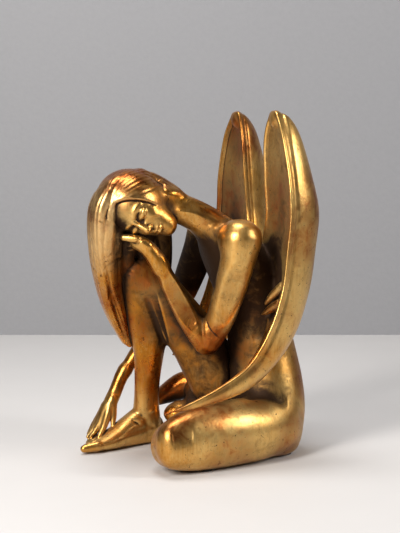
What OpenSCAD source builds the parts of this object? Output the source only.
// Seated resin angel figurine, hunched over a raised knee, with two crescent wings.
// +Z is up, the figure faces -X, and its left side, the side on show, is -Y.
// The castings are glued on dowels; a grown copy of each neighbour leaves the glue line.

/* [Figure] */
// Scale of the whole figurine, where 1 is 205 mm tall
figure_scale = 1; // [0.7:0.05:1.4]
// Glue line between two castings
glue_gap = 0.15; // [0.1:0.05:0.3]

/* [Wings] */
// How far the crescent of each wing bulges outward, in mm
wing_bulge = 8.5; // [6:0.5:10]
// Hollow of the front face of each wing
wing_hollow = 1.6; // [0:0.2:2.4]

/* [Hardware] */
// Diameter of the joining dowels
dowel_d = 3; // [2:0.5:4]
// Diameter of the stiffening wires
wire_d = 1.6; // [1:0.2:2]
// Thickness of the felt pads
felt_h = 0.8; // [0.5:0.1:1.2]
// Diameter of the two felt pads under the seat
seat_pad_d = 14; // [8:1:18]
// Diameter of the small felt pads under the knee and the foot
small_pad_d = 8; // [5:1:9]
// Diameter of the plug in the pouring hole
plug_d = 12; // [8:1:14]

/* [Smoothness] */
// Rings between two stations of a limb
ring_steps = 3; // [2:1:4]
// Points around a limb
ring_points = 20; // [16:2:24]

/* [Hidden] */

gold = "#c39a45";
dark_gold = "#a9782f";
steel = "#9aa0a6";
felt = "#3b2a20";

// Middle of the standing outline, which becomes the origin
centre = [-0.1, 4];
fine = 28;
dowel_play = 0.1;
plug_h = 8;

// Stations of every limb: x, y, z of its centre line, then half the width and half the depth
torso_rows = [
    [43, 0, -4, 23, 16], [43, 0, 8, 28, 20], [43, 0, 26, 30.5, 22.5], [42, 0, 43, 27.5, 22.5],
    [40.5, 0, 60, 22.5, 20.5], [37.5, 0, 78, 20, 18.5], [32, 0, 96, 22.5, 18.5], [24.5, 0, 112, 25.5, 17.5],
    [16, 0, 125, 25, 14.5], [8, 0, 135, 15, 11.3], [0, 0.5, 141.5, 10.5, 10], [-8, 2, 145.5, 9.5, 9.5],
    [-17, 5.5, 148, 9, 9]
];
left_thigh_rows = [
    [38, -14, 23, 21, 21], [26, -23, 18.8, 18.8, 19.4], [12, -28, 18.8, 17.5, 19.5],
    [-7, -33, 18.8, 15.5, 19.2], [-24, -36, 18.2, 13, 17.6], [-35, -38, 17, 10.5, 14.5]
];
left_calf_rows = [
    [-33, -30, 15, 11, 13], [-20, -16, 15, 12.5, 14], [-5, 0, 15.5, 12, 14], [6, 16, 18, 9.5, 11.5],
    [12, 29, 26, 7.5, 9], [14, 36, 32, 7.3, 9]
];
left_foot_rows = [
    [16, 40, 37, 6.5, 7], [9, 45, 34, 7, 8.4], [2, 48.5, 30, 7.5, 7.2], [-6, 51.5, 25.5, 7, 4.6]
];
right_thigh_rows = [
    [34, 14, 16, 16.5, 17], [26, 14, 30, 17.5, 18], [17.5, 15, 44, 17, 18],
    [7.5, 16.5, 62, 15.5, 16.5], [-5, 18.5, 80, 14, 14.5], [-18.5, 20.5, 98, 12.5, 13],
    [-29, 22, 109, 11.5, 11.5]
];
right_shin_rows = [
    [-32, 22.5, 108, 11, 11.5], [-27, 24.5, 95, 11, 12.5], [-22.5, 28, 78, 10.5, 12.5],
    [-19.6, 32, 60, 8.5, 10], [-19.2, 36, 41, 7, 8.3], [-18.3, 40, 22, 7.3, 8.3],
    [-17, 42, 11, 8, 9]
];
right_foot_rows = [
    [-12, 44, 8.5, 8, 9.3], [-22, 42.5, 8.5, 8.5, 9.5], [-34, 39.5, 7, 9, 8],
    [-46, 36.7, 5, 9.5, 5.6], [-54, 35.2, 4, 9, 4]
];
right_instep_rows = [[-18, 41.5, 18, 7.3, 8], [-27, 40.7, 13, 8, 7.5], [-38, 38.5, 8.5, 8.5, 5.5]];
left_upper_arm_rows = [
    [15, -26, 131, 12, 12], [12.4, -26, 119, 10.3, 10.5], [10, -20, 101, 9.2, 9.6],
    [7, -13, 83, 8.2, 8.6], [2.5, -7, 69.5, 7.3, 7.6]
];
left_forearm_rows = [
    [1.5, -6.5, 67.5, 7, 7.2], [-6.5, -3, 79.5, 7, 6.8], [-14.5, -1, 94, 6.4, 6.2],
    [-21, -1, 106, 5.8, 5.4], [-27.5, -2, 116.5, 5.8, 4.8], [-32, -1.5, 122.5, 7, 4.2]
];
right_upper_arm_rows = [
    [17, 29, 133, 11.5, 11.5], [15.2, 34, 121, 10, 10.2], [12, 41, 105, 9, 9.4], [9, 47, 91, 8, 8.4]
];
right_forearm_rows = [
    [7, 48.5, 87.5, 7.6, 7.2], [-4, 50.5, 74, 6.8, 6.4], [-15, 51, 61.5, 5.7, 5.3],
    [-23.5, 50.5, 51, 4.8, 4.4], [-30, 50, 42, 4.2, 3.8], [-33.5, 49, 33.5, 4.6, 3.3]
];
front_lock_rows = [
    [-53, 8, 161, 9, 4.5], [-59.5, 8, 150, 10, 5.2], [-60.5, 10, 138, 10, 5],
    [-58, 15, 120, 9, 4.5], [-54, 20, 105, 8, 4.1], [-49.5, 25, 92.5, 6.5, 3.6],
    [-42, 30.5, 78, 5, 3], [-34, 35.5, 65, 3, 1.8]
];
inner_lock_rows = [
    [-49, 8, 136, 6.5, 4.5], [-50.5, 15, 119, 6.5, 3.6], [-48, 21, 103, 6, 3.2],
    [-41.5, 26.5, 87, 5, 2.8], [-35.5, 31, 74, 3.2, 2.2]
];
far_lock_rows = [
    [-26, 20, 152, 9, 9], [-17, 25, 138, 8.5, 8], [-13, 27.5, 122, 7.5, 6.5],
    [-12, 29, 106, 6, 5], [-14, 31, 92, 3.5, 3]
];
nape_rows = [
    [-34, 12, 166, 9, 5], [-24, 11, 161, 9, 6], [-16, 8, 155.5, 8, 6], [-10, 4, 151.5, 7, 5]
];

// Guide curves of a wing, given for the right one: front outer rim, front inner rim and rear edge
wing_top = [
    [[35, 26, 204], [35, 24.4, 204], [36.4, 25.2, 203.8]],
    [[34.6, 30.5, 201], [35, 20.5, 201], [42, 25, 201]],
    [[34, 40, 187], [34.5, 14.5, 187], [49, 24, 190]],
    [[34, 48, 164], [35.5, 13, 164], [56.5, 25, 166]],
    [[34, 50, 144], [37, 12.5, 144], [61, 27, 146]],
    [[32, 50, 124], [37, 9, 124], [61, 23, 124]],
    [[29, 50, 102], [40, 11, 102], [58, 23, 101]],
    [[21, 50, 80], [34, 22, 82], [47, 30, 76]],
    [[9, 48.5, 61], [18, 36, 64], [29, 38, 57]]
];
left_wing_end = [
    [[-6, 48, 51], [0, 43, 53], [9, 43, 45]],
    [[-24, 47, 42.7], [-20, 44, 43.8], [-19, 45, 38.6]],
    [[-41, 44.6, 36.4], [-40.6, 43.8, 36.6], [-40.4, 44.2, 35.6]]
];
right_wing_end = [
    [[1, 46, 54.5], [6, 42, 56], [15, 41, 49.5]],
    [[-4, 43.6, 51.5], [-3.6, 42.8, 51.8], [-3.2, 43.2, 50.6]]
];

// The head's own axes: towards the crown, out of the face and towards its right ear
skull_centre = [-38.5, 8, 149.5];
crown_dir = unit([-0.93, 0.19, 0.31]);
face_dir = square_to([-0.15, -0.78, -0.6], crown_dir);
right_dir = cross(face_dir, crown_dir);

function unit(v) = v / norm(v);
function square_to(v, axis) = unit(v - axis * (v * axis));
function spot(row) = [row[0], row[1], row[2]];
function row_at(rows, i) = rows[max(0, min(len(rows) - 1, i))];
function between(a, b, t) = a + (b - a) * t;

// Catmull-Rom curve through b and c
function curve(a, b, c, d, t) =
    0.5 * (2 * b + (c - a) * t + (2 * a - 5 * b + 4 * c - d) * t * t + (3 * b - a - 3 * c + d) * t * t * t);
function smooth(rows, steps) = concat(
    [for (i = [0:len(rows) - 2]) for (j = [0:steps - 1])
        curve(row_at(rows, i - 1), rows[i], rows[i + 1], row_at(rows, i + 2), j / steps)],
    [rows[len(rows) - 1]]
);
function heading(rows, i) = unit(spot(row_at(rows, i + 1)) - spot(row_at(rows, i - 1)));

// One ring around the centre line; its width lies along the hint vector
function ring(at, dir, half_w, half_d, hint) =
    let (across = square_to(hint, dir), over = cross(dir, across))
    [for (k = [0:ring_points - 1])
        let (turn = 360 * k / ring_points)
        at + across * half_w * cos(turn) + over * half_d * sin(turn)];
// Rounded end: rings that shrink past the last station
function dome(row, dir, out, grow, hint) =
    let (reach = min(row[3], row[4]) * 0.85 + grow)
    [for (lift = out > 0 ? [35, 70] : [70, 35])
        ring(spot(row) + dir * out * reach * sin(lift), dir,
            (row[3] + grow) * cos(lift), (row[4] + grow) * cos(lift), hint)];

// Skin over a list of rings that all have the same number of points
module skin(rings) {
    count = len(rings[0]);
    last = len(rings) - 1;
    polyhedron(
        points = [for (r = rings) for (p = r) p],
        faces = concat(
            [[for (k = [0:count - 1]) k]],
            [for (i = [0:last - 1]) for (k = [0:count - 1])
                let (n = (k + 1) % count)
                [i * count + k, (i + 1) * count + k, i * count + n]],
            [for (i = [0:last - 1]) for (k = [0:count - 1])
                let (n = (k + 1) % count)
                [i * count + n, (i + 1) * count + k, (i + 1) * count + n]],
            [[for (k = [count - 1:-1:0]) last * count + k]]
        )
    );
}

module limb(rows, hint = [0, 1, 0], grow = 0) {
    path = smooth(rows, ring_steps);
    last = len(path) - 1;
    skin(concat(
        dome(path[0], heading(path, 0), -1, grow, hint),
        [for (i = [0:last]) ring(spot(path[i]), heading(path, i), path[i][3] + grow, path[i][4] + grow, hint)],
        dome(path[last], heading(path, last), 1, grow, hint)
    ));
}

module ball(at, r, grow = 0) {
    translate(at) sphere(r + grow, $fn = 16);
}

module egg(at, radii, grow = 0) {
    translate(at) scale(radii + [grow, grow, grow]) sphere(1, $fn = fine);
}

// Round bar between two points, such as a finger or a toe
module digit(a, b, r_a, r_b, grow = 0) {
    hull() {
        translate(a) sphere(r_a + grow, $fn = 12);
        translate(b) sphere(r_b + grow, $fn = 12);
    }
}

// Exact round bar between two points
module rod(a, b, d, sides = fine) {
    reach = b - a;
    length = norm(reach);
    translate(a)
        rotate([0, acos(reach[2] / length), atan2(reach[1], reach[0])])
            cylinder(d = d, h = length, $fn = sides);
}

module in_head() {
    multmatrix([
        [right_dir[0], face_dir[0], crown_dir[0], skull_centre[0]],
        [right_dir[1], face_dir[1], crown_dir[1], skull_centre[1]],
        [right_dir[2], face_dir[2], crown_dir[2], skull_centre[2]]
    ]) children();
}

module in_place() {
    scale(figure_scale) translate([-centre[0], -centre[1], 0]) children();
}

// Everything below the underside of the castings
module below_base(grow = 0) {
    translate([-150, -150, -60]) cube([300, 300, 60 + felt_h + grow]);
}

module body_shape(grow = 0) {
    limb(torso_rows, grow = grow);
    limb(left_thigh_rows, grow = grow);
    limb(left_calf_rows, hint = [0.7, -0.7, 0], grow = grow);
    limb(left_foot_rows, hint = [0.3, 0.9, 0], grow = grow);
    // Shoulders and breasts
    digit([20, -8, 126], [18, -15, 127.5], 12, 11, grow);
    digit([20, 8, 126], [18.5, 16, 128], 12, 11, grow);
    for (side = [-1, 1]) digit([24, side * 9, 110], [17.5, side * 11, 106.5], 9, 7, grow);
    // Seat
    for (side = [-1, 1]) digit([42, side * 12, 24], [44, side * 11, 35], 18, 16, grow);
    // Toes of the folded foot, the big one on top
    for (i = [0:4])
        digit([-6 - 0.4 * i, 50 + 0.6 * i, 29 - 2.4 * i], [-11.5 + 0.5 * i, 52 + 0.5 * i, 26.5 - 2.2 * i],
            2.6 - 0.25 * i, 2.1 - 0.25 * i, grow);
}

module right_leg_shape(grow = 0) {
    limb(right_thigh_rows, grow = grow);
    limb(right_shin_rows, grow = grow);
    limb(right_foot_rows, grow = grow);
    limb(right_instep_rows, grow = grow);
    // Toes, the big one on the side of the left leg
    for (i = [0:4])
        digit([-54 + 0.9 * i, 28.5 + 3.6 * i, 4.4], [-62.5 + 1.9 * i, 29.5 + 3.1 * i, 3.4],
            3.2 - 0.3 * i, 2.5 - 0.25 * i, grow);
}

// Skull, face, jaw, brow, nose, lips and chin in the head's own axes
module head_shape(grow = 0) {
    in_head() {
        egg([0, -1, 0], [15.2, 18, 18.2], grow);
        hull() {
            egg([0, 4, -4], [13.4, 13.8, 15], grow);
            egg([0, 9, -21], [6.8, 6.8, 6], grow);
        }
        digit([0, 17.2, -1], [0, 19.8, -9], 1.3, 2, grow);
        digit([-2, 15.2, -15.2], [2, 15.2, -15.2], 1.7, 1.7, grow);
        digit([-1, 13, -22.5], [1, 13, -22.5], 3.2, 3.2, grow);
    }
}

module hair_shape(grow = 0) {
    in_head() {
        difference() {
            egg([0, -2, 1], [17.8, 20.3, 20.8], grow);
            // Opening for the face, from the parting down to the jaw
            translate([-20, 8, -34]) cube([40, 30, 46]);
            translate([-20, 2, -44]) cube([40, 30, 30]);
        }
    }
    limb(front_lock_rows, grow = grow);
    limb(inner_lock_rows, grow = grow);
    limb(far_lock_rows, grow = grow);
    limb(nape_rows, grow = grow);
}

module left_arm_shape(grow = 0) {
    limb(left_upper_arm_rows, grow = grow);
    limb(left_forearm_rows, hint = [0.2, 1, 0.1], grow = grow);
    ball([2, -6.5, 68.5], 7.6, grow);
    // Hand bent under the cheek
    digit([-31, -1, 122.5], [-37, 2, 125.5], 4.6, 4.2, grow);
    for (i = [0:3])
        digit([-36 + 1.5 * i, -2.5 + 3 * i, 126], [-47 + 2.5 * i, 0.5 + 3.5 * i, 125.5], 2.6, 1.9, grow);
}

module right_arm_shape(grow = 0) {
    limb(right_upper_arm_rows, grow = grow);
    limb(right_forearm_rows, grow = grow);
    ball([8.2, 47.8, 89], 8, grow);
    // Hand spread over the raised foot
    digit([-35, 49, 31], [-37.5, 47.5, 24], 4, 3.6, grow);
    digit([-35.5, 46.5, 27], [-37, 44, 17.5], 2.2, 1.5, grow);
    for (i = [0:3]) {
        knuckle = [-37.5 - 1.5 * i, 45.5 + 1.3 * i, 20.5 + 0.9 * i];
        tip = [-45.5 - 2.4 * i, 40 + 1.7 * i, 9.6 - 0.5 * i];
        digit(knuckle, tip, 2.2, 1.4, grow);
    }
}

// One ring of a wing: outer face, inner face, then the hollow front face
function wing_ring(guides, along, grow) =
    let (
        outer = guides[0], inner = guides[1], rear = guides[2],
        fullness = sin(180 * pow(along, 0.75)),
        middle = (outer + inner + rear) / 3,
        away = unit(cross([0, 0, 1], rear - outer) + [0, 0.001, 0]),
        front = unit(cross([0, 0, 1], outer - inner) + [0.001, 0, 0]),
        edge = [
            for (t = [0:0.125:0.99]) between(outer, rear, t) + away * wing_bulge * fullness * 4 * t * (1 - t),
            for (t = [0:0.2:0.99]) between(rear, inner, t),
            for (t = [0:0.2:0.99]) between(inner, outer, t) - front * wing_hollow * fullness * 4 * t * (1 - t)
        ]
    )
    [for (p = edge) p + unit(p - middle) * grow];

module wing_shape(guides, grow = 0) {
    path = smooth(guides, ring_steps);
    last = len(path) - 1;
    skin([for (i = [0:last]) wing_ring(path[i], i / last, grow)]);
}

module left_side() { mirror([0, 1, 0]) children(); }
module left_wing_shape(grow = 0) { left_side() wing_shape(concat(wing_top, left_wing_end), grow); }
module right_wing_shape(grow = 0) { wing_shape(concat(wing_top, right_wing_end), grow); }

// Places of the dowels and wires: two ends each
neck_dowel_ends = [[-4, 1, 144.5], [-26, 5, 147]];
hip_dowel_ends = [[44, 13, 24], [18, 15.5, 34]];
shoulder_dowel_ends = [[[22, -8, 126], [15, -30, 127]], [[22, 8, 126], [16, 33, 127]]];
wing_dowel_ends = [[[30, 8, 118], [48, 32, 118]], [[34, 8, 102], [48, 32, 102]]];
wing_wire_ends = [[42, 10, 100], [41, 33.5, 180]];

module dowels(list, play = 0) {
    for (ends = list) rod(ends[0], ends[1], dowel_d + 2 * play);
}
module wire(ends, play = 0) {
    rod(ends[0], ends[1], wire_d + 2 * play);
}
module plug(play = 0) {
    translate([46, 1, felt_h - play]) cylinder(d = plug_d + 2 * play, h = plug_h + 2 * play, $fn = 64);
}
module pad(at, d) { translate(at) cylinder(d = d, h = felt_h, $fn = 64); }

module body_casting() {
    color(gold) in_place() difference() {
        union() { body_shape(); }
        below_base();
        dowels([neck_dowel_ends], dowel_play);
        dowels([hip_dowel_ends], dowel_play);
        dowels(shoulder_dowel_ends, dowel_play);
        dowels(wing_dowel_ends, dowel_play);
        left_side() dowels(wing_dowel_ends, dowel_play);
        wire(wing_wire_ends, dowel_play);
        left_side() wire(wing_wire_ends, dowel_play);
        plug(dowel_play);
    }
}
module right_leg_casting() {
    color(gold) in_place() difference() {
        union() { right_leg_shape(); }
        body_shape(glue_gap);
        below_base();
        dowels([hip_dowel_ends], dowel_play);
    }
}
module head_casting() {
    color(gold) in_place() difference() {
        union() { head_shape(); }
        body_shape(glue_gap);
        right_leg_shape(glue_gap);
        dowels([neck_dowel_ends], dowel_play);
    }
}
module left_arm_casting() {
    color(gold) in_place() difference() {
        union() { left_arm_shape(); }
        body_shape(glue_gap);
        right_leg_shape(glue_gap);
        head_shape(glue_gap);
        dowels(shoulder_dowel_ends, dowel_play);
    }
}
module hair_casting() {
    color(dark_gold) in_place() difference() {
        union() { hair_shape(); }
        body_shape(glue_gap);
        right_leg_shape(glue_gap);
        head_shape(glue_gap);
        left_arm_shape(glue_gap);
    }
}
module right_arm_casting() {
    color(gold) in_place() difference() {
        union() { right_arm_shape(); }
        body_shape(glue_gap);
        right_leg_shape(glue_gap);
        hair_shape(glue_gap);
        below_base();
        dowels(shoulder_dowel_ends, dowel_play);
    }
}
module left_wing_casting() {
    color(gold) in_place() difference() {
        left_wing_shape();
        body_shape(glue_gap);
        left_arm_shape(glue_gap);
        left_side() dowels(wing_dowel_ends, dowel_play);
        left_side() wire(wing_wire_ends, dowel_play);
    }
}
module right_wing_casting() {
    color(gold) in_place() difference() {
        right_wing_shape();
        body_shape(glue_gap);
        right_leg_shape(glue_gap);
        right_arm_shape(glue_gap);
        dowels(wing_dowel_ends, dowel_play);
        wire(wing_wire_ends, dowel_play);
    }
}

module neck_dowel() { color(steel) in_place() dowels([neck_dowel_ends]); }
module hip_dowel() { color(steel) in_place() dowels([hip_dowel_ends]); }
module shoulder_dowels() { color(steel) in_place() dowels(shoulder_dowel_ends); }
module left_wing_dowels() { color(steel) in_place() left_side() dowels(wing_dowel_ends); }
module right_wing_dowels() { color(steel) in_place() dowels(wing_dowel_ends); }
module left_wing_wire() { color(steel) in_place() left_side() wire(wing_wire_ends); }
module right_wing_wire() { color(steel) in_place() wire(wing_wire_ends); }
module pour_hole_plug() { color(dark_gold) in_place() plug(); }
module seat_felt_pads() { color(felt) in_place() for (y = [-14, 16]) pad([46, y, 0], seat_pad_d); }
module knee_felt_pad() { color(felt) in_place() pad([-12, -34, 0], small_pad_d); }
module foot_felt_pad() { color(felt) in_place() pad([-20, 43, 0], small_pad_d); }

body_casting();
right_leg_casting();
head_casting();
hair_casting();
left_arm_casting();
right_arm_casting();
left_wing_casting();
right_wing_casting();
neck_dowel();
hip_dowel();
shoulder_dowels();
left_wing_dowels();
right_wing_dowels();
left_wing_wire();
right_wing_wire();
pour_hole_plug();
seat_felt_pads();
knee_felt_pad();
foot_felt_pad();
